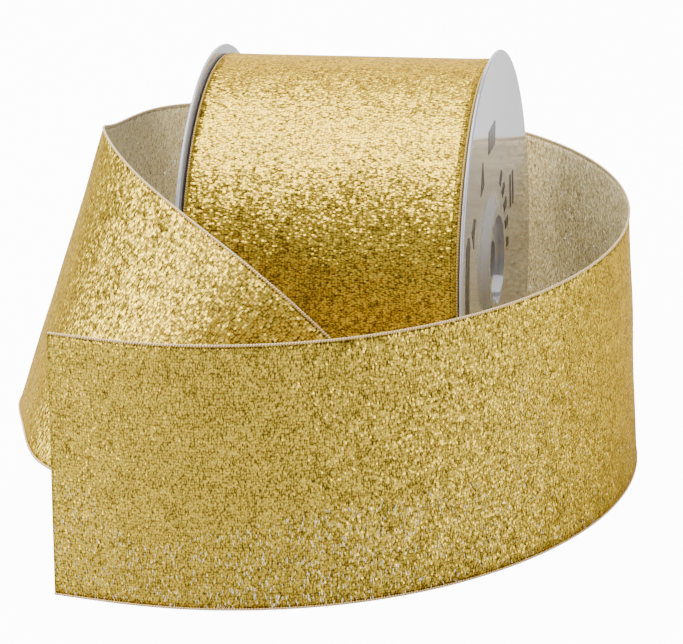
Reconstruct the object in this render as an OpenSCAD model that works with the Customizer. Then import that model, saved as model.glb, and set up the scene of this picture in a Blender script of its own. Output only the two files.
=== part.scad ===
// Ribbon spool: a wide metallic woven ribbon with wired edges, wound on a
// two-flange plastic spool, its free end pulled off into a standing loop.
//
// Frame: millimetres, origin at the middle of the spindle bore, +X along the
// spool's axis, +Z up. The spool stands on its flanges, on a table at
// z = -flange_d / 2.

/* [Ribbon] */
// Width of the ribbon over both of its wired edges
ribbon_w = 60; // [40:1:80]
// Thickness of the woven band where it lies loose
ribbon_t = 0.4; // [0.3:0.05:0.6]
// Diameter of the overlocked wire along each edge
edge_d = 0.6; // [0.5:0.1:1.2]

/* [Spool] */
// Diameter of both flanges
flange_d = 95; // [80:1:130]
// Thickness of a flange and of its rounded rim
flange_t = 0.8; // [0.6:0.1:2]
// How far a flange flares outwards from its hub to its rim
flare = 1.2; // [0.5:0.1:3]
// How far a flange stands above the wound ribbon
rim_stand = 2.1; // [1.6:0.1:8]
// Gap between the ribbon's edges and each flange, at the core
side_clear = 0.2; // [0.1:0.1:1]
// Gap between the roll's outer turn and each flange
rim_clear = 0.5; // [0.2:0.1:0.6]

/* [Core] */
// Outer diameter of the paperboard core tube
core_d = 32; // [28:0.5:40]
// Wall of the core tube
core_wall = 2; // [1:0.1:3]
// Length of a flange's spigot inside the core tube
spigot_l = 8; // [4:0.5:15]
// Wall of the spigot
spigot_wall = 1.2; // [0.8:0.1:1.6]
// Gap between the spigot and the core tube
spigot_clear = 0.1; // [0.05:0.05:0.3]
// Thickness of the tape that holds the ribbon's inner end
tape_t = 0.15; // [0.1:0.05:0.2]
// Width of that tape along the core
tape_w = 36; // [20:1:39]
// Angle at which the tape starts on the core
tape_start = 200; // [0:5:355]
// Angle that the tape covers on the core
tape_angle = 70; // [40:5:120]

/* [Hub] */
// Diameter of the spindle bore
bore_d = 8.5; // [6:0.1:12]
// Diameter of the raised hub ring at its foot
hub_d = 31; // [30:0.5:40]
// Diameter of the hub ring's flat top
hub_top_d = 24; // [23:0.5:28]
// Height of the hub ring above the flange
hub_h = 1.2; // [0.6:0.1:3]
// Diameter of the recess inside the hub ring
recess_d = 20; // [16:0.5:22]
// Length of the bore's sleeve inside the core
sleeve_l = 6; // [3:0.5:12]
// Wall of the sleeve
sleeve_wall = 1.2; // [0.8:0.1:1.6]

/* [Marks] */
// Thickness of the printed marks on the right-hand flange
mark_t = 0.1; // [0.05:0.05:0.2]
// Width of the long bar that follows the rim
bar_w = 6; // [3:0.5:7]
// Radius of that bar's middle line
bar_r = 39.5; // [36:0.5:42]
// Angle at which it starts
bar_start = 158; // [135:1:160]
// Angle that it covers
bar_angle = 40; // [20:5:70]
// How far the middles of the small blocks stand from the hub ring
block_out = 4.5; // [3:0.5:7]
// Length of a small block, along the flange's radius
block_l = 3.4; // [2:0.2:4]
// Width of a small block
block_w = 2.2; // [1:0.2:3]

/* [Loose ribbon] */
// Gap between the wound ribbon and the stretch that leaves it
run_clear = 0.3; // [0.3:0.05:0.4]
// Radius of the standing loop at its foot, for a ribbon 60 wide on a flange 95 across
loop_r = 84; // [83:0.5:86]
// How far the loop leans in from its foot to its upper edge
loop_lean = 1; // [0:0.5:2]
// Lines worked out between two neighbouring rows of the route
steps = 8; // [4:1:10]

/* [Hidden] */

flange_r = flange_d / 2;
pack_r = flange_r - rim_stand;
web_in = ribbon_w / 2 + side_clear;
web_out = web_in + flange_t;
rim_in = web_in + flare;
core_r = core_d / 2;
spigot_r = core_r - core_wall - spigot_clear;
table_z = -flange_r;
eps = 0.01;
$fn = 96;

// ---- the loose ribbon's route ------------------------------------------
// The loose ribbon's surface is made of straight lines across it. Each row
// sets one: the x, y and height above the table of its middle, the way it
// leans in plan as an angle from +X, and how steeply it rises, in degrees.
// The rows are for a ribbon 60 wide on a flange 95 across.
ref_w = 60;
ref_d = 95;
ref_in = 30.2;
lifted_rows = [
    [0, -35, 1, 30, 0],      // flat on the table in front of the roll
    [-5, -60, 12, 30, 5],    // lifting off the table
    [-22, -75, 40, 25, 35],  // turning up in front
    [-46, -62, 52, 65, 48],  // swinging back
    [-59, -38, 54, 80, 45],
    [-65, -9, 48, 71, 52],   // beside the left-hand flange
    [-60, 26, 41, 70, 68],
    [-45, 60, 33, 70, 80]    // nearly upright behind the roll
];
// The ribbon then stands in a round loop about this point, from the first
// angle to the second, in this many lines
loop_at = [-20, -10];
loop_from = 84;
loop_to = -91;
loop_lines = 9;
// The last line is its cut end: where it stands, its lean and its rise
cut_end = [-50, -89];
cut_lean = 40;
cut_rise = 88;
// The ribbon still lies on the roll at these angles from its lowest point
roll_angles = [-26, -1];

// The route runs along the middles of the two edge wires. A line's middle
// moves with the spool's size.
wire_r = edge_d / 2;
span = ribbon_w - edge_d;
hug_r = pack_r + run_clear + wire_r;
function placed(x, y, height) = [x * web_in / ref_in, y * flange_d / ref_d, table_z + wire_r + height];
function direction(lean, rise) = [cos(lean) * cos(rise), sin(lean) * cos(rise), sin(rise)];

// A line's middle and direction: on the roll, lifted, and standing on the table
function on_roll(a) = [[0, -hug_r * sin(a), -hug_r * cos(a)], [1, 0, 0]];
function lifted(row) = [placed(row[0], row[1], row[2] * ribbon_w / ref_w), direction(row[3], row[4])];
function standing(p, lean, rise) = [placed(p.x, p.y, span / 2 * sin(rise)), direction(lean, rise)];
function in_loop(k) =
    let (a = loop_from + (loop_to - loop_from) * k / (loop_lines - 1), r = loop_r - loop_lean / 2)
    standing(loop_at + r * [cos(a), sin(a)], a + 180, acos(loop_lean / span));

lines = concat([for (a = roll_angles) on_roll(a)],
               [for (row = lifted_rows) lifted(row)],
               [for (k = [0 : loop_lines - 1]) in_loop(k)],
               [standing(cut_end, cut_lean, cut_rise)]);
last = len(lines) - 1;

// A line that crosses the ribbon's run at an angle is longer, so that the
// ribbon keeps its width. These are its ends on the lower and the upper edge.
function run_at(i) = unit(lines[min(i + 1, last)][0] - lines[max(i - 1, 0)][0]);
ends = [for (i = [0 : last])
    let (m = lines[i][0], d = lines[i][1], half = d * span / 2 / norm(cross(d, run_at(i))))
    [m - half, m + half]];

// Natural cubic spline through evenly numbered points p: its second
// derivatives m satisfy m[i-1] + 4 m[i] + m[i+1] = 6 (p[i-1] - 2 p[i] + p[i+1]).
// The first two functions sweep forward through those equations, the third
// substitutes back, and cubic() is the curve between points i and i + 1.
function bend_of(p, i) = 6 * (p[i - 1] - 2 * p[i] + p[i + 1]);
function sweep_c(n, i = 1, prev = 0, done = []) =
    i == n ? done
           : let (c = 1 / (4 - prev)) sweep_c(n, i + 1, c, concat(done, [c]));
function sweep_d(p, c, n, i = 1, prev = [0, 0, 0], done = []) =
    i == n ? done
           : let (d = (bend_of(p, i) - prev) * c[i - 1])
             sweep_d(p, c, n, i + 1, d, concat(done, [d]));
function back_sub(c, d, i, next = [0, 0, 0], done = [[0, 0, 0]]) =
    i < 0 ? concat([[0, 0, 0]], done)
          : let (m = d[i] - c[i] * next)
            back_sub(c, d, i - 1, m, concat([m], done));
function second(p) =
    let (n = len(p) - 1, c = sweep_c(n), d = sweep_d(p, c, n))
    back_sub(c, d, n - 2);
function cubic(p, m, i, t) =
    let (s = 1 - t)
    s * p[i] + t * p[i + 1] + (s * s * s - s) / 6 * m[i] + (t * t * t - t) / 6 * m[i + 1];

// Nothing of the ribbon enters the roll or the table
function kept_out(p) =
    let (r = norm([p.y, p.z]), k = abs(p.x) < web_in && r < hug_r ? hug_r / r : 1)
    [p.x, p.y * k, max(p.z * k, table_z + wire_r)];
function spline(p) =
    let (m = second(p))
    [for (k = [0 : last * steps])
        let (i = min(floor(k / steps), last - 1)) kept_out(cubic(p, m, i, k / steps - i))];

low = spline([for (e = ends) e[0]]);
high = spline([for (e = ends) e[1]]);
count = len(low);

function unit(v) = v / norm(v);
function along(p, i) = unit(p[min(i + 1, count - 1)] - p[max(i - 1, 0)]);
mid = (low + high) / 2;
across = [for (i = [0 : count - 1]) unit(high[i] - low[i])];
face = [for (i = [0 : count - 1]) unit(cross(across[i], along(mid, i)))];

// The four corners of the woven band's cross-section at each line
band = [for (i = [0 : count - 1])
    let (o = face[i] * ribbon_t / 2)
    [low[i] - o, high[i] - o, high[i] + o, low[i] + o]];

// A tube round an edge: side points on a circle square to the edge
sides = 8;
function ring(edge, i) =
    let (t = along(edge, i), u = unit(cross(t, face[i])), v = cross(t, u))
    [for (k = [0 : sides - 1])
        edge[i] + wire_r * (cos(360 * k / sides) * u + sin(360 * k / sides) * v)];
module edge_tube(edge) loft([for (i = [0 : count - 1]) ring(edge, i)], sides);

// A closed solid through rings of the same number of points
module loft(rings, sides) {
    n = len(rings);
    points = [for (r = rings) each r];
    walls = [for (i = [0 : n - 2], k = [0 : sides - 1])
        let (q = (k + 1) % sides)
        each [[i * sides + k, (i + 1) * sides + k, (i + 1) * sides + q],
              [i * sides + k, (i + 1) * sides + q, i * sides + q]]];
    start = [for (k = [0 : sides - 1]) k];
    end = [for (k = [sides - 1 : -1 : 0]) (n - 1) * sides + k];
    polyhedron(points, concat(walls, [start, end]), convexity = 10);
}

// ---- spool pieces --------------------------------------------------------
// Turns a profile drawn as [radius, x] into a solid about the X axis
module turned() rotate([90, 0, 90]) rotate_extrude() children();

// One moulded flange, drawn for the right-hand side. Its middle is flat, as
// wide as the hub ring and the core tube need, and its web leans outwards
// from there to the rim.
hub_r = hub_d / 2;
flat_r = max(hub_r, core_r);
tip_r = flange_r - flange_t / 2;
// How far the web has leaned outwards at radius r
function lean(r) = flare * (r - flat_r) / (tip_r - flat_r);

module flange() {
    turned() difference() {
        union() {
            // flat middle and leaning web
            polygon([[0, web_in], [flat_r, web_in], [tip_r, rim_in], [tip_r, rim_in + flange_t],
                     [flat_r, web_out], [0, web_out]]);
            // rounded rim
            translate([tip_r, rim_in + flange_t / 2]) circle(flange_t / 2, $fn = 32);
            // hub ring with a sloping flank
            polygon([[0, web_in], [hub_r, web_in], [hub_r, web_out], [hub_top_d / 2, web_out + hub_h],
                     [0, web_out + hub_h]]);
            // spigot inside the core tube
            translate([spigot_r - spigot_wall, web_in - spigot_l]) square([spigot_wall, spigot_l + eps]);
            // sleeve round the bore
            translate([0, web_in - sleeve_l]) square([bore_d / 2 + sleeve_wall, sleeve_l + eps]);
        }
        // recess inside the hub ring
        translate([-eps, web_out]) square([recess_d / 2 + eps, hub_h + 1]);
        // spindle bore
        translate([-eps, web_in - sleeve_l - 1]) square([bore_d / 2 + eps, sleeve_l + flange_t + hub_h + 2]);
    }
}

module right_flange() color("whitesmoke") flange();

module left_flange() color("whitesmoke") mirror([1, 0, 0]) flange();

module core_tube() color("burlywood") turned()
    translate([core_r - core_wall, -web_in]) square([core_wall, 2 * web_in]);

module start_tape() color("ivory") translate([-tape_w / 2, 0, 0]) rotate([90, 0, 90])
    rotate([0, 0, tape_start]) rotate_extrude(angle = tape_angle)
        translate([core_r, 0]) square([tape_t, tape_w]);

// The ribbon's inner turn starts on the tape
pack_in = core_r + tape_t;

// Half the roll's width at its inner turn, and at its outer turn, where the
// turns wander from side to side as far as the leaning flanges let them
half_in = ribbon_w / 2;
half_out = web_in + lean(pack_r) - rim_clear;

module wound_ribbon() color("gold") turned()
    polygon([[pack_in, edge_d - half_in], [pack_r, edge_d - half_out],
             [pack_r, half_out - edge_d], [pack_in, half_in - edge_d]]);

module wound_edge() turned()
    polygon([[pack_in, half_in - edge_d], [pack_r, half_out - edge_d], [pack_r, half_out], [pack_in, half_in]]);

module wound_edge_right() color("wheat") wound_edge();

module wound_edge_left() color("wheat") mirror([1, 0, 0]) wound_edge();

// Plain printed marks on the right-hand flange's outer face. A print lies on
// the leaning web, so the outlines are cut out of a thin skin of that web.
module flange_print() color("dimgray") intersection() {
    turned() polygon([[0, web_out], [flat_r, web_out], [flange_r, web_out + lean(flange_r)],
                      [flange_r, web_out + lean(flange_r) + mark_t], [flat_r, web_out + mark_t],
                      [0, web_out + mark_t]]);
    translate([web_in, 0, 0]) rotate([90, 0, 90]) linear_extrude(2 * flare + flange_t + 1) {
        scale(flange_d / ref_d) rim_marks();
        hub_marks();
    }
}

// Marks whose outlines are [y, z] on a flange 95 across
module rim_marks() {
    // long bar that follows the rim, with round ends
    intersection() {
        difference() {
            circle(bar_r + bar_w / 2);
            circle(bar_r - bar_w / 2);
        }
        polygon([[0, 0], for (a = [0 : 5 : bar_angle]) 2 * bar_r * [cos(bar_start + a), sin(bar_start + a)]]);
    }
    for (a = [bar_start, bar_start + bar_angle])
        rotate([0, 0, a]) translate([bar_r, 0]) circle(bar_w / 2, $fn = 32);
    // kite, wedge and block
    polygon([[-27, 19], [-30.5, 17], [-27.5, 12], [-24, 17.5]]);
    polygon([[-15.5, 20], [-10, 21], [-12.5, 27]]);
    polygon([[-4, 26], [5, 26], [5, 31.5], [-4, 31.5]]);
    // two short lines
    for (y = [25, 28])
        translate([y, 8]) square([1.2, 8], center = true);
}

// Row of small blocks round the hub ring
module hub_marks()
    for (a = [48, 34, 20, 6, -8])
        rotate([0, 0, a]) translate([hub_r + block_out, 0]) square([block_l, block_w], center = true);

// ---- loose ribbon pieces ---------------------------------------------------
module loose_ribbon() color("goldenrod") loft(band, 4);

module loose_edge_upper() color("wheat") edge_tube(high);

module loose_edge_lower() color("wheat") edge_tube(low);

right_flange();
left_flange();
core_tube();
start_tape();
wound_ribbon();
wound_edge_right();
wound_edge_left();
flange_print();
loose_ribbon();
loose_edge_upper();
loose_edge_lower();
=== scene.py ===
"""A spool of wide metallic ribbon with its free end pulled off into a standing loop.

Metres, in the frame of the CAD model: the origin is the middle of the spindle bore, +X runs along
the spool's axis, +Z is up, and the table is at minus the flange's radius.
"""

import logging
from dataclasses import dataclass, field
from enum import Enum
from typing import Any

import bpy
import numpy as np
from mathutils import Matrix, Vector

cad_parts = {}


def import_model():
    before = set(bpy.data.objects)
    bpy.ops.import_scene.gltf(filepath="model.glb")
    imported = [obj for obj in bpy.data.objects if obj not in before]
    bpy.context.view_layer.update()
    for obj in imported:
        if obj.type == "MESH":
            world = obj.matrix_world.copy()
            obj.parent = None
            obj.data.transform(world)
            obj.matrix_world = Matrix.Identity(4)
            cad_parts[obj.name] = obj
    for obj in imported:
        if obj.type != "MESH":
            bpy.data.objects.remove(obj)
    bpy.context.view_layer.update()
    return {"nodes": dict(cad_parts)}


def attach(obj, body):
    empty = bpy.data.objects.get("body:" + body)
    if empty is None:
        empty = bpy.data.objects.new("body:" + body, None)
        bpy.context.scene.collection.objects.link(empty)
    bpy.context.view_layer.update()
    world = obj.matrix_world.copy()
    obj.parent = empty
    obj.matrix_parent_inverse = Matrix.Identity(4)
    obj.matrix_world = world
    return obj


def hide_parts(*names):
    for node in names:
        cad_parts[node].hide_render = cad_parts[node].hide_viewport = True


log = logging.getLogger("ribbon_spool")
MM = 0.001

# Sizes in mm that several pieces share: the ribbon's width over its wires, a wire's diameter with
# its thread, the distance between two of its stitches, and the height of the table
RIBBON_WIDTH = 60.0
WIRE = 0.6
STITCH = 0.62
TABLE = -47.5


class Side(Enum):
    """Which end of the spool a piece belongs to."""

    RIGHT = 1
    LEFT = -1


class Edge(Enum):
    """One of the ribbon's two long edges."""

    LOWER = "lower"
    UPPER = "upper"


# ---- small tools ---------------------------------------------------------


def linear(code: str) -> tuple[float, float, float, float]:
    """Turns an sRGB hex colour into the linear colour that shaders take.

    Each channel c is c / 12.92 below 0.04045, and ((c + 0.055) / 1.055) to the power 2.4 above.

    Args:
        code: Six hex digits, such as "c8a850".

    Returns:
        Red, green, blue and an alpha of 1.
    """
    srgb = np.array([int(code[i : i + 2], 16) for i in (0, 2, 4)]) / 255
    value = np.where(srgb <= 0.04045, srgb / 12.92, ((srgb + 0.055) / 1.055) ** 2.4)
    return (*(float(v) for v in value), 1.0)


def add_node(
    tree: bpy.types.NodeTree,
    kind: str,
    settings: dict[str, Any] | None = None,
    links: dict[str | int, Any] | None = None,
) -> bpy.types.Node:
    """Adds one node with its settings and what feeds it.

    Args:
        tree: The node tree that it goes in.
        kind: The node's type name.
        settings: Attribute names and values.
        links: Input names or numbers, each with a socket to link or a plain value to set.

    Returns:
        The new node.
    """
    node = tree.nodes.new(kind)
    for name, value in (settings or {}).items():
        setattr(node, name, value)
    for key, value in (links or {}).items():
        if isinstance(value, bpy.types.NodeSocket):
            tree.links.new(value, node.inputs[key])
        else:
            node.inputs[key].default_value = value
    return node


def new_material(name: str) -> tuple[bpy.types.Material, bpy.types.NodeTree, bpy.types.Node]:
    """Makes a material that holds only a Principled shader.

    Args:
        name: The material's name.

    Returns:
        The material, its node tree and its shader.
    """
    material = bpy.data.materials.new(name)
    material.use_nodes = True
    tree = material.node_tree
    tree.nodes.clear()
    shader = add_node(tree, "ShaderNodeBsdfPrincipled")
    add_node(tree, "ShaderNodeOutputMaterial", links={"Surface": shader.outputs[0]})
    return material, tree, shader


def ramp(
    tree: bpy.types.NodeTree, factor: bpy.types.NodeSocket, stops: list[tuple[float, str]]
) -> bpy.types.NodeSocket:
    """Adds a colour ramp.

    Args:
        tree: The node tree.
        factor: What drives the ramp.
        stops: Places from 0 to 1, each with an sRGB hex colour.

    Returns:
        The ramp's colour.
    """
    node = add_node(tree, "ShaderNodeValToRGB", links={0: factor})
    elements = node.color_ramp.elements
    while len(elements) < len(stops):
        elements.new(0.5)
    for element, (place, code) in zip(elements, stops):
        element.position = place
        element.color = linear(code)
    return node.outputs[0]


@dataclass(frozen=True)
class Grid:
    """A surface on a grid of two parameters.

    Attributes:
        points: Array of rows, columns and xyz, in metres.
        uv: Array of rows, columns and two numbers, in metres along and across, with one more row
            or column than points where that direction is closed.
        closed_rows: Whether the last row joins the first.
        closed_columns: Whether the last column joins the first.
    """

    points: np.ndarray
    uv: np.ndarray
    closed_rows: bool = False
    closed_columns: bool = False

    def quads(self) -> np.ndarray:
        """Numbers the four corners of every face, row by row.

        Returns:
            Array of faces and the numbers of their corners.
        """
        rows, columns = self.points.shape[:2]
        i = np.arange(rows if self.closed_rows else rows - 1)[:, None]
        j = np.arange(columns if self.closed_columns else columns - 1)[None, :]
        i2, j2 = (i + 1) % rows, (j + 1) % columns
        corners = [i * columns + j, i2 * columns + j, i2 * columns + j2, i * columns + j2]
        return np.stack(corners, -1).reshape(-1, 4)

    def corner_uv(self) -> np.ndarray:
        """Gives the two pattern coordinates at every corner of every face.

        Returns:
            Array of corners, in the order of the faces, and two numbers.
        """
        uv = self.uv
        n = uv.shape[0] - 1
        m = uv.shape[1] - 1
        corners = [uv[:n, :m], uv[1:, :m], uv[1:, 1:], uv[:n, 1:]]
        return np.stack(corners, 2).reshape(-1, 2)

    def build(self, name: str, caps: bool = False) -> bpy.types.Object:
        """Makes the mesh object.

        Args:
            name: The object's name.
            caps: Whether the first and last rows are closed with one face each.

        Returns:
            The object, at the origin.
        """
        rows, columns = self.points.shape[:2]
        quads = self.quads()
        faces = quads.tolist()
        uv = self.corner_uv()
        if caps:
            first = list(range(columns))[::-1]
            last = [(rows - 1) * columns + k for k in range(columns)]
            faces += [first, last]
            uv = np.vstack([uv, self.uv[0, :columns][::-1], self.uv[-1, :columns]])
        mesh = bpy.data.meshes.new(name)
        mesh.from_pydata(self.points.reshape(-1, 3).tolist(), [], faces)
        layer = mesh.uv_layers.new(name="cloth")
        layer.data.foreach_set("uv", np.ascontiguousarray(uv, dtype=np.float32).ravel())
        mesh.polygons.foreach_set("use_smooth", np.ones(len(mesh.polygons), dtype=bool))
        mesh.update()
        obj = bpy.data.objects.new(name, mesh)
        bpy.context.scene.collection.objects.link(obj)
        return obj


def turned(profile: np.ndarray, steps: int, name: str) -> bpy.types.Object:
    """Turns a closed profile about the X axis.

    Point (i, j) is the j-th profile point (x, r) carried to angle a = 2 pi i / steps, at
    (x, r sin a, -r cos a), so that the seam is at the bottom. The pattern runs the largest
    radius times a along, and the way round the profile across.

    Args:
        profile: Array of x and r, in metres, counter-clockwise in the x-r plane.
        steps: Number of angles.
        name: The object's name.

    Returns:
        The object.
    """
    a = np.linspace(0, 2 * np.pi, steps + 1)
    x, r = profile[:, 0], profile[:, 1]
    ring = a[:-1, None]
    points = np.stack([x + 0 * ring, r * np.sin(ring), -r * np.cos(ring)], -1)
    loop = np.vstack([profile, profile[:1]])
    run = np.concatenate([[0], np.cumsum(np.linalg.norm(np.diff(loop, axis=0), axis=1))])
    uv = np.stack(np.broadcast_arrays(a[:, None] * r.max(), run[None, :]), -1)
    return Grid(points, uv, closed_rows=True, closed_columns=True).build(name)


# ---- finishes --------------------------------------------------------------


@dataclass(frozen=True)
class LurexWeave:
    """Woven metallic ribbon: flat gilt film yarns laid across fine polyester threads.

    The film floats over the threads in short dashes, so it glitters in dashes that lie across the
    ribbon, each tilted its own way, with darker thread, small see-through gaps and gaps painted
    dark as shade between them.
    The yarns are drawn coarser than real ones, so that the dashes show.

    Attributes:
        name: The material's name.
        film: Colours from the thread in the gaps to the brightest film.
        tilt: How far the dashes tilt, as a share of the normal's length.
        metallic: Share of the surface that is film.
        roughness: Roughness of the film.
        open_share: Share of the surface that is see-through gap.
        openness: How much is seen through such a gap.
        painted_shade_share: Share of the surface that is a gap between the yarns, painted dark as the shade
            seen through it.
        pick: Distance between two gilt yarns along the ribbon, in mm.
        float_length: Length of a gilt dash across the ribbon, in mm.
        gap: Length along and across the ribbon of a gap between the yarns, in mm.
        patch: Size of the slow changes in the film's brightness, in mm.
        shares: How much a dash's middle, its own chance and the slow changes add to its brightness.
        half_width: Half the ribbon's width, in mm.
        stitch: Distance between two stitches of the edge, in mm.
        stitch_line: How far in from the edge the stitches' dots lie, and how wide they are, in mm.
    """

    name: str
    film: tuple[str, str, str, str] = ("66521a", "b8982e", "e8c544", "ffe35c")
    tilt: float = 0.34
    metallic: float = 0.8
    roughness: float = 0.36
    open_share: float = 0.06
    openness: float = 0.15
    painted_shade_share: float = 0.06
    pick: float = 0.38
    float_length: float = 0.62
    gap: tuple[float, float] = (0.26, 1.1)
    patch: float = 5.0
    shares: tuple[float, float, float] = (0.5, 0.35, 0.2)
    half_width: float = RIBBON_WIDTH / 2
    stitch: float = STITCH
    stitch_line: tuple[float, float] = (0.85, 0.34)

    def build(self) -> bpy.types.Material:
        """Makes the material from the ribbon's own pattern coordinates.

        Returns:
            The material.
        """
        material, tree, shader = new_material(self.name)
        uv = add_node(tree, "ShaderNodeUVMap", {"uv_map": "cloth"}).outputs[0]
        parts = add_node(tree, "ShaderNodeSeparateXYZ", links={0: uv})
        along, over = parts.outputs[0], parts.outputs[1]

        def maths(operation: str, *values: Any) -> bpy.types.NodeSocket:
            """Adds a sum on numbers or sockets and gives its result."""
            links = dict(enumerate(values))
            return add_node(tree, "ShaderNodeMath", {"operation": operation}, links).outputs[0]

        def cells(length: float, width: float, randomness: float) -> list[bpy.types.NodeSocket]:
            """Scatters cells over the ribbon.

            Args:
                length: A cell's size along the ribbon, in mm.
                width: Its size across the ribbon, in mm.
                randomness: How far the cells stray from even rows, from 0 to 1.

            Returns:
                The distance from a cell's middle, a number by chance and a colour by chance.
            """
            x = maths("MULTIPLY", along, 1 / (length * MM))
            y = maths("MULTIPLY", over, 1 / (width * MM))
            cell = add_node(tree, "ShaderNodeCombineXYZ", links={0: x, 1: y})
            spots = add_node(
                tree,
                "ShaderNodeTexVoronoi",
                {"voronoi_dimensions": "2D"},
                {"Vector": cell.outputs[0], "Scale": 1.0, "Randomness": randomness},
            )
            chance = add_node(tree, "ShaderNodeSeparateColor", links={0: spots.outputs["Color"]})
            return [spots.outputs["Distance"], chance.outputs[0], spots.outputs["Color"]]

        # Each dash of film is brightest in its middle, and some are brighter than others
        distance, chance, colour_of_dash = cells(self.pick, self.float_length, 0.75)
        middle = maths("SUBTRACT", 1.0, maths("MULTIPLY", distance, 1.5))
        patch = add_node(
            tree,
            "ShaderNodeTexNoise",
            {"noise_dimensions": "2D"},
            {"Vector": uv, "Scale": 1 / (self.patch * MM), "Detail": 2.0},
        ).outputs[0]
        of_middle, of_chance, of_patch = self.shares
        level = maths("ADD", maths("MULTIPLY", middle, of_middle), maths("MULTIPLY", chance, of_chance))
        level = maths("ADD", level, maths("MULTIPLY", patch, of_patch))
        colour = ramp(tree, level, list(zip((0.2, 0.45, 0.7, 1.0), self.film)))

        # Longer gaps between the yarns, some painted dark as the shade seen through them and some
        # open. A gap fills about half of its cell, so twice the wanted share of the cells has one.
        reach = 0.42
        gap_distance, gap_chance, _ = cells(*self.gap, 0.9)
        near = maths("LESS_THAN", gap_distance, reach)
        dark = maths("MULTIPLY", near, maths("GREATER_THAN", gap_chance, 1 - 2 * self.painted_shade_share))
        opened = maths("MULTIPLY", near, maths("LESS_THAN", gap_chance, 2 * self.open_share))
        opened = maths("MULTIPLY", opened, self.openness)

        # The edge's stitching: a row of dark dots just inside each wire
        line_in, line_width = self.stitch_line
        from_edge = maths("SUBTRACT", self.half_width * MM, maths("ABSOLUTE", over))
        off_line = maths("ABSOLUTE", maths("SUBTRACT", from_edge, line_in * MM))
        line = maths("LESS_THAN", off_line, line_width / 2 * MM)
        beat = maths("FRACT", maths("MULTIPLY", along, 1 / (self.stitch * MM)))
        dots = maths("MULTIPLY", line, maths("LESS_THAN", beat, 0.5))
        # The stitches' dots and the painted shade in the dark gaps both pull the colour to one deep brown
        shade = maths("MAXIMUM", maths("MULTIPLY", dots, 0.8), maths("MULTIPLY", dark, 0.85))
        colour = add_node(
            tree, "ShaderNodeMix", {"data_type": "RGBA"}, {0: shade, 6: colour, 7: linear("44350e")}
        ).outputs[2]

        # Each dash has its own small tilt
        normal = add_node(tree, "ShaderNodeNewGeometry").outputs["Normal"]
        lean = add_node(
            tree, "ShaderNodeVectorMath", {"operation": "SUBTRACT"}, {0: colour_of_dash, 1: (0.5, 0.5, 0.5)}
        )
        tilted = add_node(
            tree,
            "ShaderNodeVectorMath",
            {"operation": "MULTIPLY_ADD"},
            {0: lean.outputs[0], 1: (self.tilt * 2,) * 3, 2: normal},
        )
        facing = add_node(tree, "ShaderNodeVectorMath", {"operation": "NORMALIZE"}, {0: tilted.outputs[0]})
        tree.links.new(colour, shader.inputs["Base Color"])
        tree.links.new(facing.outputs[0], shader.inputs["Normal"])
        if self.open_share:
            tree.links.new(maths("SUBTRACT", 1.0, opened), shader.inputs["Alpha"])
        shader.inputs["Metallic"].default_value = self.metallic
        shader.inputs["Roughness"].default_value = self.roughness
        # Gilt film stays golden where it is seen edge on
        shader.inputs["Specular Tint"].default_value = linear("f2cd6a")
        shader.inputs["Specular IOR Level"].default_value = 0.2
        return material


@dataclass(frozen=True)
class OverlockedWire:
    """Fine wire overlocked with polyester thread: a beige bead with a tooth at each stitch.

    Attributes:
        name: The material's name.
        stitch: Distance between two stitches, in mm.
        thread: Colours from the nick between two stitches, darkened as painted shade, to a stitch's crown,
            lightened as a painted highlight.
    """

    name: str = "overlocked_polyester_thread"
    stitch: float = STITCH
    thread: tuple[str, str, str] = ("6e5226", "c9a566", "e2c48a")

    def build(self) -> bpy.types.Material:
        """Makes the material: one nick darkened with painted shade for each stitch, leaning a little round
        the wire.

        Returns:
            The material.
        """
        material, tree, shader = new_material(self.name)
        uv = add_node(tree, "ShaderNodeUVMap", {"uv_map": "cloth"}).outputs[0]
        slanted = add_node(tree, "ShaderNodeMapping", links={"Vector": uv, "Scale": (1, 0.4, 1)})
        # Diagonal bands repeat every 2 pi / 10 of the scaled vector
        wave = add_node(
            tree,
            "ShaderNodeTexWave",
            {"wave_type": "BANDS", "bands_direction": "DIAGONAL"},
            {
                "Vector": slanted.outputs[0],
                "Scale": 2 * np.pi / 10 / (self.stitch * MM),
                "Distortion": 0.4,
                "Detail": 1.0,
            },
        ).outputs[1]
        # The colour follows the stitches' height: painted shade in each nick, a painted highlight on each
        # crown
        colour = ramp(tree, wave, list(zip((0.02, 0.3, 0.85), self.thread)))
        tree.links.new(colour, shader.inputs["Base Color"])
        bump = add_node(
            tree, "ShaderNodeBump", links={"Strength": 0.5, "Distance": 0.06 * MM, "Height": wave}
        )
        tree.links.new(bump.outputs[0], shader.inputs["Normal"])
        shader.inputs["Roughness"].default_value = 0.55
        shader.inputs["Sheen Weight"].default_value = 0.15
        return material


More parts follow.
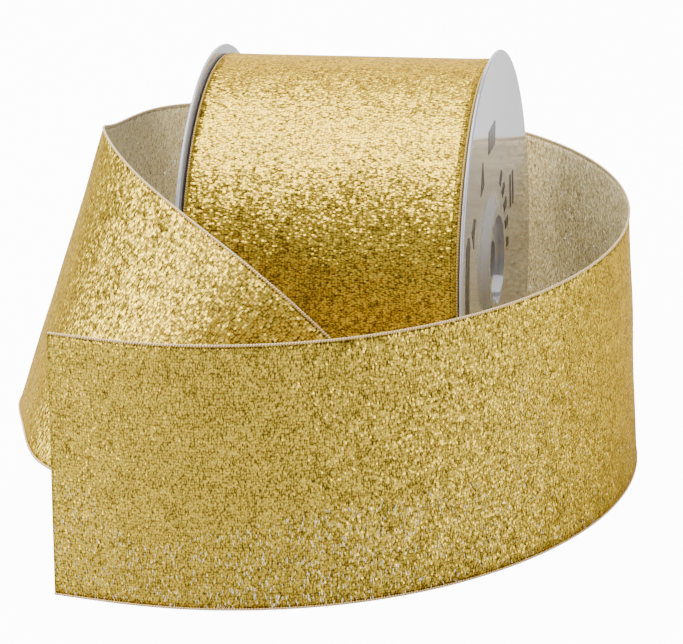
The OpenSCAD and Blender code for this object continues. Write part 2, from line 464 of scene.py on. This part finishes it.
@dataclass(frozen=True)
class MouldedPolystyrene:
    """Glossy polystyrene, injection moulded: a cool pale grey that mirrors what stands by it.

    Attributes:
        name: The material's name.
        cloud: Size of the faint changes in its colour, in mm.
        ripple: Size of the faint unevenness of its face, in mm.
    """

    name: str = "moulded_polystyrene"
    cloud: float = 18.0
    ripple: float = 9.0

    def build(self) -> bpy.types.Material:
        """Makes the material from object coordinates.

        Returns:
            The material.
        """
        material, tree, shader = new_material(self.name)
        place = add_node(tree, "ShaderNodeTexCoord").outputs["Object"]
        cloud, ripple = (
            add_node(
                tree,
                "ShaderNodeTexNoise",
                links={"Vector": place, "Scale": 1 / (size * MM), "Detail": detail},
            ).outputs[0]
            for size, detail in ((self.cloud, 2.0), (self.ripple, 1.0))
        )
        colour = ramp(tree, cloud, [(0.3, "92929c"), (0.7, "a0a0a9")])
        tree.links.new(colour, shader.inputs["Base Color"])
        bump = add_node(
            tree, "ShaderNodeBump", links={"Strength": 0.35, "Distance": 0.2 * MM, "Height": ripple}
        )
        tree.links.new(bump.outputs[0], shader.inputs["Normal"])
        shader.inputs["Roughness"].default_value = 0.13
        shader.inputs["IOR"].default_value = 1.59
        shader.inputs["Coat Weight"].default_value = 0.7
        shader.inputs["Coat Roughness"].default_value = 0.06
        return material


@dataclass(frozen=True)
class PlainFinish:
    """A simple finish with some grain: paperboard, paper tape or ink.

    Attributes:
        name: The material's name, after what it is.
        dark: The darker sRGB colour.
        light: The lighter sRGB colour.
        grain: Size of the grain, in mm.
        roughness: The surface's roughness.
    """

    name: str
    dark: str
    light: str
    grain: float
    roughness: float

    def build(self) -> bpy.types.Material:
        """Makes the material from object coordinates.

        Returns:
            The material.
        """
        material, tree, shader = new_material(self.name)
        place = add_node(tree, "ShaderNodeTexCoord").outputs["Object"]
        links = {"Vector": place, "Scale": 1 / (self.grain * MM), "Detail": 3.0}
        noise = add_node(tree, "ShaderNodeTexNoise", links=links).outputs[0]
        colour = ramp(tree, noise, [(0.3, self.dark), (0.7, self.light)])
        tree.links.new(colour, shader.inputs["Base Color"])
        bump = add_node(
            tree, "ShaderNodeBump", links={"Strength": 0.3, "Distance": 0.1 * MM, "Height": noise}
        )
        tree.links.new(bump.outputs[0], shader.inputs["Normal"])
        shader.inputs["Roughness"].default_value = self.roughness
        return material


# ---- the spool -----------------------------------------------------------


@dataclass
class Spool:
    """The flanges, the core tube, the start tape and the printed marks: CAD nodes, dressed.

    Attributes:
        plastic: The flanges' finish.
        board: The core tube's finish.
        tape: The start tape's finish.
        ink: The marks' finish.
    """

    plastic: MouldedPolystyrene = MouldedPolystyrene()
    board: PlainFinish = PlainFinish("wound_paperboard", "8d7455", "b59a75", 1.5, 0.85)
    tape: PlainFinish = PlainFinish("paper_tape", "cdbf9f", "e6dcc4", 1.0, 0.6)
    ink: PlainFinish = PlainFinish("printed_ink", "2c2826", "3f3a38", 0.8, 0.35)

    def dress(self, nodes: dict[str, bpy.types.Object]) -> None:
        """Puts each finish on its nodes.

        Args:
            nodes: The frame's nodes by name.
        """
        for finish, names in (
            (self.plastic, ("right_flange", "left_flange")),
            (self.board, ("core_tube",)),
            (self.tape, ("start_tape",)),
            (self.ink, ("flange_print",)),
        ):
            material = finish.build()
            for name in names:
                mesh = nodes[name].data
                mesh.materials.clear()
                mesh.materials.append(material)
                log.info("dressed %s in %s", name, material.name)


@dataclass
class WoundRibbon:
    """The ribbon on the roll: its woven turns, and the coiled wires at both sides.

    Attributes:
        half_in: Half the roll's width at its inner turn.
        half_out: Half its width at the outer turn, where the turns wander to both sides.
        inner: Radius where the turns start.
        outer: Radius of the outer turn.
        wire: Diameter of an edge wire, which is also the pitch of its turns.
        steps: Number of angles round the roll.
    """

    half_in: float = RIBBON_WIDTH / 2 * MM
    half_out: float = 30.8 * MM
    inner: float = 16.15 * MM
    outer: float = 45.4 * MM
    wire: float = WIRE * MM
    steps: int = 360

    def half(self, r: np.ndarray) -> np.ndarray:
        """Gives half the roll's width at each radius: it widens evenly from the inner turn out."""
        return self.half_in + (self.half_out - self.half_in) * (r - self.inner) / (self.outer - self.inner)

    def web(self, material: bpy.types.Material) -> bpy.types.Object:
        """Makes the woven turns.

        A trapezoid from the inner to the outer radius, turned about the axis. At the outer turn it
        reaches a fifth of a wire into the coils. Its outer face sinks between them, as the turns
        under it give: at x it lies sink (1 - (x / half its width) to the power 8) lower.

        Args:
            material: The weave.

        Returns:
            The piece.
        """
        sink, columns = 0.1 * MM, 41
        wide = self.half_out - self.wire * 0.8
        x = np.linspace(wide, -wide, columns)
        top = np.stack([x, self.outer - sink * (1 - (x / wide) ** 8)], 1)
        narrow = self.half_in - self.wire
        bottom = np.array([[-narrow, self.inner], [narrow, self.inner]])
        piece = turned(np.vstack([bottom, top]), self.steps, "wound_web")
        piece.data.materials.append(material)
        # Across the ribbon the pattern is measured from its middle line
        corner = np.empty(len(piece.data.loops), dtype=np.int32)
        piece.data.loops.foreach_get("vertex_index", corner)
        place = np.empty(len(piece.data.vertices) * 3, dtype=np.float32)
        piece.data.vertices.foreach_get("co", place)
        layer = piece.data.uv_layers["cloth"]
        uv = np.empty(len(layer.data) * 2, dtype=np.float32)
        layer.data.foreach_get("uv", uv)
        uv = uv.reshape(-1, 2)
        uv[:, 1] = place.reshape(-1, 3)[corner, 0]
        layer.data.foreach_set("uv", uv.ravel())
        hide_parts("wound_ribbon")
        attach(piece, "spool")
        return piece

    def coil(self, side: Side, material: bpy.types.Material) -> bpy.types.Object:
        """Makes the coiled edge wires at one side.

        The profile is a closed band about one wire wide that follows the roll's side. Its outward
        face is a row of low arches, one for each turn and with four points each: at a distance p
        in from the outermost wire's middle it stands out by arch times the size of
        sin(pi p / step). Its outer end is an arc, the outermost wire.

        Args:
            side: Which side of the roll.
            material: The overlocked wire's finish.

        Returns:
            The piece.
        """
        r = self.wire / 2
        arch = 0.4 * r
        turns = int(round((self.outer - self.inner) / self.wire))
        step = (self.outer - self.inner) / turns
        t = np.linspace(0, 1, 5)[:-1]
        down = (self.outer - r - step * (np.arange(turns)[:, None] + t)).ravel()
        down = down[down > self.inner]
        bulge = arch * np.abs(np.sin(np.pi * (self.outer - r - down) / step))
        face = np.stack([self.half(down) - arch + bulge, down], 1)
        foot = np.array([[self.half_in - arch, self.inner], [self.half_in - self.wire, self.inner]])
        arc = np.linspace(np.pi, 0.12 * np.pi, 9)
        centre = self.half_out - r
        crown = np.stack([centre + r * np.cos(arc), self.outer - r + r * np.sin(arc)], 1)
        profile = np.vstack([face, foot, crown])[::-1]
        if side is Side.LEFT:
            profile = profile[::-1] * np.array([-1, 1])
        piece = turned(profile, self.steps, f"wound_wire_{side.name.lower()}")
        piece.data.materials.append(material)
        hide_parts(f"wound_edge_{side.name.lower()}")
        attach(piece, "spool")
        return piece


# ---- the loose ribbon ------------------------------------------------------


@dataclass
class LooseRibbon:
    """The free stretch, from the roll's bottom to the cut end of the loop that it stands in.

    It leaves under the roll, rises in front, goes round the left side, and then stands on its
    edge behind the spool, at its right and in front.

    Attributes:
        width: The ribbon's width over its wires.
        wire: Diameter of an edge wire.
        stitch: Distance between two stitches of such a wire.
        thickness: Thickness of the woven band.
        table: Height of the table.
        hug: Radius at which the wires' middles lie on the roll.
        roll_half: Half the distance between the flanges.
        lifted: Lines across the ribbon until it stands behind the roll. Each is its middle's x, y
            and height above the wires on the table, in mm, then its lean in plan from +X and
            its rise, in degrees.
        loop_at: The middle of the round loop that it then stands in, in mm.
        loop_r: That loop's radius at its foot, in mm.
        loop_lean: How far the loop leans in from its foot to its upper edge, in mm.
        loop_from: The angle of the loop's first line, in degrees.
        loop_to: The angle of its last line, in degrees.
        loop_lines: Number of its lines.
        cut_end: The cut end's x and y in mm, then its lean and its rise in degrees.
        roll_angles: Where it still lies on the roll, in degrees from the roll's lowest point.
        length: Length of its middle line, which its band works out.
    """

    width: float = RIBBON_WIDTH * MM
    wire: float = WIRE * MM
    stitch: float = STITCH * MM
    thickness: float = 0.14 * MM
    table: float = TABLE * MM
    hug: float = 46 * MM
    roll_half: float = 30.2 * MM
    lifted: tuple[tuple[float, ...], ...] = (
        (0, -35, 1, 30, 0),
        (-5, -60, 12, 30, 5),
        (-22, -75, 40, 25, 35),
        (-46, -62, 52, 65, 48),
        (-59, -38, 54, 80, 45),
        (-65, -9, 48, 71, 52),
        (-60, 26, 41, 70, 68),
        (-45, 60, 33, 70, 80),
    )
    loop_at: tuple[float, float] = (-20, -10)
    loop_r: float = 84
    loop_lean: float = 1
    loop_from: float = 84
    loop_to: float = -91
    loop_lines: int = 9
    cut_end: tuple[float, ...] = (-50, -89, 40, 88)
    roll_angles: tuple[float, float] = (-26, -1)
    length: float = field(default=0.0, init=False)

    def lines(self) -> np.ndarray:
        """Works out the straight lines across the ribbon that its surface is made of.

        A line has a middle m and a direction d = (cos lean cos rise, sin lean cos rise, sin rise).
        The ribbon runs along t, from the middle before to the middle after, and a line that
        crosses it at an angle is longer: its ends are m -+ d span / (2 |d x t|), so that the
        ribbon keeps its width.

        Returns:
            Array of lines, lower and upper end, and xyz.
        """
        span = (self.width - self.wire) / MM
        lifted = np.array(self.lifted, dtype=float)
        angles = np.linspace(self.loop_from, self.loop_to, self.loop_lines)
        a = np.radians(angles)
        r = self.loop_r - self.loop_lean / 2
        loop = np.stack(
            [
                self.loop_at[0] + r * np.cos(a),
                self.loop_at[1] + r * np.sin(a),
                0 * a,
                angles + 180,
                0 * a + np.degrees(np.arccos(self.loop_lean / span)),
            ],
            1,
        )
        x, y, lean, rise = self.cut_end
        standing = np.vstack([loop, [x, y, 0, lean, rise]])
        standing[:, 2] = span / 2 * np.sin(np.radians(standing[:, 4]))
        rows = np.vstack([lifted, standing])
        middle = rows[:, :3] * MM + [0, 0, self.table + self.wire / 2]
        lean, rise = np.radians(rows[:, 3:]).T
        direction = np.stack([np.cos(lean) * np.cos(rise), np.sin(lean) * np.cos(rise), np.sin(rise)], 1)
        a = np.radians(self.roll_angles)
        start = np.stack([0 * a, -self.hug * np.sin(a), -self.hug * np.cos(a)], 1)
        middle = np.vstack([start, middle])
        direction = np.vstack([[[1, 0, 0]] * len(a), direction])
        around = np.vstack([middle[:1], middle, middle[-1:]])
        run = around[2:] - around[:-2]
        run /= np.linalg.norm(run, axis=1, keepdims=True)
        crossing = np.linalg.norm(np.cross(direction, run), axis=1, keepdims=True)
        half = direction * (self.width - self.wire) / 2 / crossing
        return np.stack([middle - half, middle + half], 1)

    def edges(self, samples: int) -> tuple[np.ndarray, np.ndarray]:
        """Works out the middles of the two edge wires along the ribbon.

        Each is a natural cubic spline through the ends of the lines across the ribbon. Its second
        derivatives m solve m[i-1] + 4 m[i] + m[i+1] = 6 (p[i-1] - 2 p[i] + p[i+1]). The samples
        are spaced evenly along the middle line. A point that would then be in the roll or the
        table is pushed out of it.

        Args:
            samples: Number of points along each edge.

        Returns:
            Lower and upper edge points, each an array of samples and xyz.
        """
        fine = 40  # places tried between two lines, to measure the middle line
        knots = self.lines()
        n = len(knots) - 1
        system = np.eye(n + 1)
        inner = np.arange(1, n)
        system[inner, inner] = 4
        system[inner, inner - 1] = 1
        system[inner, inner + 1] = 1
        right = np.zeros_like(knots)
        right[1:-1] = 6 * (knots[:-2] - 2 * knots[1:-1] + knots[2:])
        bend = np.linalg.solve(system, right.reshape(n + 1, -1)).reshape(knots.shape)

        def at(place: np.ndarray) -> np.ndarray:
            """Evaluates both splines.

            Args:
                place: Places from 0 to n, whole at the lines across the ribbon.

            Returns:
                Array of places, lower and upper edge, and xyz.
            """
            i = np.minimum(place.astype(int), n - 1)
            t = (place - i)[:, None, None]
            s = 1 - t
            return s * knots[i] + t * knots[i + 1] + (s**3 - s) / 6 * bend[i] + (t**3 - t) / 6 * bend[i + 1]

        places = np.linspace(0, n, n * fine + 1)
        line = at(places).mean(1)
        run = np.concatenate([[0], np.cumsum(np.linalg.norm(np.diff(line, axis=0), axis=1))])
        both = at(np.interp(np.linspace(0, run[-1], samples), run, places))
        r = np.linalg.norm(both[..., 1:], axis=-1)
        inside = (np.abs(both[..., 0]) < self.roll_half) & (r < self.hug)
        both[..., 1:] *= np.where(inside, self.hug / r, 1)[..., None]
        both[..., 2] = np.maximum(both[..., 2], self.table + self.wire / 2)
        return both[:, 0], both[:, 1]

    @staticmethod
    def outward(low: np.ndarray, high: np.ndarray) -> np.ndarray:
        """Gives the unit vector out of the ribbon's face at each sample: across times along.

        Args:
            low: The lower edge's points.
            high: The upper edge's points.

        Returns:
            Array of samples and xyz.
        """
        across = high - low
        across /= np.linalg.norm(across, axis=1, keepdims=True)
        along = np.gradient((low + high) / 2, axis=0)
        out = np.cross(across, along)
        return out / np.linalg.norm(out, axis=1, keepdims=True)

    def band(self, face: bpy.types.Material, back: bpy.types.Material) -> bpy.types.Object:
        """Makes the woven band.

        Point (i, j) lies between the two edges at sample i, a share v of the way across, and
        stands out of that line by a slow ripple that fades to nothing at both wires. The ripple is
        the sum of two sine waves, which run 9 and 23 times along the ribbon and slant across it,
        and stands up to about 0.2 mm high. The second half of the columns comes back on the other
        face.

        Args:
            face: The weave of the side that faces out on the roll.
            back: The weave of its wrong side, paler, and lightened further with painted light that shines
                through the band.

        Returns:
            The piece.
        """
        samples, columns, swell = 700, 31, 0.12 * MM
        low, high = self.edges(samples)
        out = self.outward(low, high)
        v = np.linspace(0, 1, columns)[None, :, None]
        s = np.arange(samples)[:, None, None] / samples
        line = low[:, None] + (high - low)[:, None] * v
        ripple = np.sin(2 * np.pi * (9 * s + 1.3 * v)) + 0.6 * np.sin(2 * np.pi * (23 * s - 2.1 * v) + 1)
        line = line + out[:, None] * ripple * np.sin(np.pi * v) * swell
        off = out[:, None] * self.thickness / 2
        points = np.concatenate([line + off, (line - off)[:, ::-1]], 1)
        middle = (low + high) / 2
        run = np.concatenate([[0], np.cumsum(np.linalg.norm(np.diff(middle, axis=0), axis=1))])
        w = (np.linspace(0, 1, columns) - 0.5) * (self.width - self.wire)
        w = np.concatenate([w, w[::-1], w[:1]])
        uv = np.stack(np.broadcast_arrays(run[:, None], w[None, :]), -1)
        piece = Grid(points, uv, closed_columns=True).build("loose_band", caps=True)
        piece.data.materials.append(face)
        piece.data.materials.append(back)
        column = np.arange(len(piece.data.polygons)) % (2 * columns)
        piece.data.polygons.foreach_set("material_index", (column >= columns).astype(np.int32))
        self.length = float(run[-1])
        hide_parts("loose_ribbon")
        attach(piece, "ribbon_tail")
        return piece

    def bead(self, edge: Edge, material: bpy.types.Material) -> bpy.types.Object:
        """Makes the overlocked wire along one edge.

        A tube round the edge: at length s its radius is nick plus bulge times the size of
        sin(pi s / stitch), which gives one bulge for each stitch.

        Args:
            edge: Which edge.
            material: The overlocked wire's finish.

        Returns:
            The piece.
        """
        nick, bulge, sides = 0.24 * MM, 0.06 * MM, 8
        # Five points for each stitch of a ribbon of 610 mm, a little longer than this one
        samples = int(610 * MM / self.stitch) * 5 + 1
        low, high = self.edges(samples)
        out = self.outward(low, high)
        middle = low if edge is Edge.LOWER else high
        tangent = np.gradient(middle, axis=0)
        tangent /= np.linalg.norm(tangent, axis=1, keepdims=True)
        u = np.cross(tangent, out)
        u /= np.linalg.norm(u, axis=1, keepdims=True)
        w = np.cross(tangent, u)
        run = np.concatenate([[0], np.cumsum(np.linalg.norm(np.diff(middle, axis=0), axis=1))])
        r = nick + bulge * np.abs(np.sin(np.pi * run / self.stitch))
        a = np.linspace(0, 2 * np.pi, sides, endpoint=False)[None, :, None]
        points = middle[:, None] + r[:, None, None] * (np.cos(a) * u[:, None] + np.sin(a) * w[:, None])
        about = np.linspace(0, np.pi * self.wire, sides + 1)
        uv = np.stack(np.broadcast_arrays(run[:, None], about[None, :]), -1)
        piece = Grid(points, uv, closed_columns=True).build(f"loose_wire_{edge.value}", caps=True)
        piece.data.materials.append(material)
        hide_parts(f"loose_edge_{edge.value}")
        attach(piece, "ribbon_tail")
        return piece

    def build(self, face: bpy.types.Material, back: bpy.types.Material, wire: bpy.types.Material) -> None:
        """Args:
            face: The weave of the side that faces out on the roll.
            back: The weave of its wrong side, paler, and lightened further with painted light that shines
                through the band.
            wire: The overlocked wire's finish.
        """
        band = self.band(face, back)
        wires = [self.bead(edge, wire) for edge in Edge]
        log.info("loose ribbon %.0f mm long", self.length / MM)


# ---- studio ----------------------------------------------------------------


@dataclass
class Studio:
    """The floor, the lights and the camera.

    Attributes:
        azimuth: Degrees that the camera stands round from the front, towards +X.
        elevation: Degrees that it stands above the spool's middle.
        roll: Degrees that it is turned about its own line of sight.
        distance: How far it stands from the spool's middle.
        offset: How far it is moved sideways and upwards, across its line of sight.
        lens: Its focal length in millimetres, for film 36 mm wide.
    """

    azimuth: float = 11.81
    elevation: float = 20.3
    roll: float = -2.18
    distance: float = 942 * MM
    offset: tuple[float, float] = (-3.79 * MM, -15.34 * MM)
    lens: float = 217.5

    def camera(self) -> None:
        """Sets the camera up: it looks along d from the given distance, turned by the roll."""
        az, el, roll = np.radians([self.azimuth, self.elevation, self.roll])
        d = np.array([-np.sin(az) * np.cos(el), np.cos(az) * np.cos(el), -np.sin(el)])
        right = np.cross(d, [0, 0, 1])
        right /= np.linalg.norm(right)
        up = np.cross(right, d)
        r = np.cos(roll) * right + np.sin(roll) * up
        u = -np.sin(roll) * right + np.cos(roll) * up
        place = self.offset[0] * r + self.offset[1] * u - self.distance * d
        data = bpy.data.cameras.new("camera")
        data.sensor_width = 36
        data.lens = self.lens
        data.clip_end = 10
        obj = bpy.data.objects.new("camera", data)
        turn = Matrix(np.stack([r, u, -d], 1).tolist()).to_4x4()
        obj.matrix_world = Matrix.Translation(Vector(place)) @ turn
        bpy.context.scene.collection.objects.link(obj)
        bpy.context.scene.camera = obj

    @staticmethod
    def light(name: str, place: tuple[float, float, float], size: float, power: float) -> None:
        """Adds a square soft light that faces the spool.

        Args:
            name: The light's name.
            place: Its position in metres.
            size: Its side in metres.
            power: Its power in watts.
        """
        data = bpy.data.lights.new(name, "AREA")
        data.shape = "SQUARE"
        data.size = size
        data.energy = power
        obj = bpy.data.objects.new(name, data)
        direction = Vector((0, 0, 0)) - Vector(place)
        turn = direction.to_track_quat("-Z", "Y").to_matrix().to_4x4()
        obj.matrix_world = Matrix.Translation(Vector(place)) @ turn
        bpy.context.scene.collection.objects.link(obj)

    @staticmethod
    def floor(table: float, glow: float) -> None:
        """Lays the white paper floor, which looks white from edge to edge and throws no glow back.

        Args:
            table: Height of the table.
            glow: Strength of the white light that only the camera sees it give.
        """
        bpy.ops.mesh.primitive_plane_add(size=12, location=(0, 0, table))
        floor = bpy.context.object
        floor.name = "floor"
        material, tree, shader = new_material("white_paper_sweep")
        shader.inputs["Base Color"].default_value = linear("b4b4b4")
        shader.inputs["Roughness"].default_value = 0.9
        shader.inputs["Emission Color"].default_value = linear("ffffff")
        seen = add_node(tree, "ShaderNodeLightPath").outputs["Is Camera Ray"]
        bright = add_node(tree, "ShaderNodeMath", {"operation": "MULTIPLY"}, {0: seen, 1: glow})
        tree.links.new(bright.outputs[0], shader.inputs["Emission Strength"])
        floor.data.materials.append(material)

    def build(self, table: float) -> None:
        """Makes the whole studio.

        Args:
            table: Height of the table.
        """
        self.camera()
        self.floor(table, 12.0)
        self.light("overhead", (-0.35, 0.0, 1.2), 1.4, 62)
        self.light("behind", (0.0, 1.6, 0.6), 1.4, 16)
        self.light("left", (-1.1, -0.45, 0.2), 0.8, 18)
        self.light("right", (1.1, -0.1, 0.15), 0.8, 15)
        world = bpy.data.worlds.new("studio")
        bpy.context.scene.world = world
        world.use_nodes = True
        world.node_tree.nodes["Background"].inputs[0].default_value = linear("f2f3f5")
        world.node_tree.nodes["Background"].inputs[1].default_value = 0.36
        log.info("studio ready")


def main() -> None:
    """Builds the object in order and logs the dressed nodes, the coiled wires, the loose ribbon's length
    and the studio.
    """
    logging.basicConfig(level=logging.INFO, format="%(name)s: %(message)s")
    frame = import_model()
    face = LurexWeave("lurex_weave_face", film=("68541e", "bc9e34", "ebca4e", "ffe666")).build()
    # The wrong side is paler and duller, and its colours are lightened further with painted light that
    # stands in for light shining through the thin band
    back = LurexWeave(
        "lurex_weave_back_with_painted_light",
        film=("b29c68", "ead79e", "f9ebb8", "fffbe2"),
        tilt=0.25,
        metallic=0.05,
        roughness=0.5,
        open_share=0.1,
        openness=0.45,
        painted_shade_share=0.03,
    ).build()
    # On the roll twice the share of the gaps is painted dark as shade
    wound = LurexWeave(
        "lurex_weave_wound", tilt=0.28, roughness=0.3, open_share=0.0, painted_shade_share=0.12
    ).build()
    wire = OverlockedWire().build()
    # On the roll the wire is a darker gilt copy of the same thread: the darkening is painted shade from the
    # flanges
    wound_wire = OverlockedWire("overlocked_gilt_thread_in_painted_shade", thread=("4e3a10", "9a7a28", "c8a444")).build()
    Spool().dress(frame["nodes"])
    roll = WoundRibbon()
    roll.web(wound)
    for side in Side:
        piece = roll.coil(side, wound_wire)
        log.info("built %s", piece.name)
    LooseRibbon().build(face, back, wire)
    Studio().build(TABLE * MM)


if __name__ == "__main__":
    main()
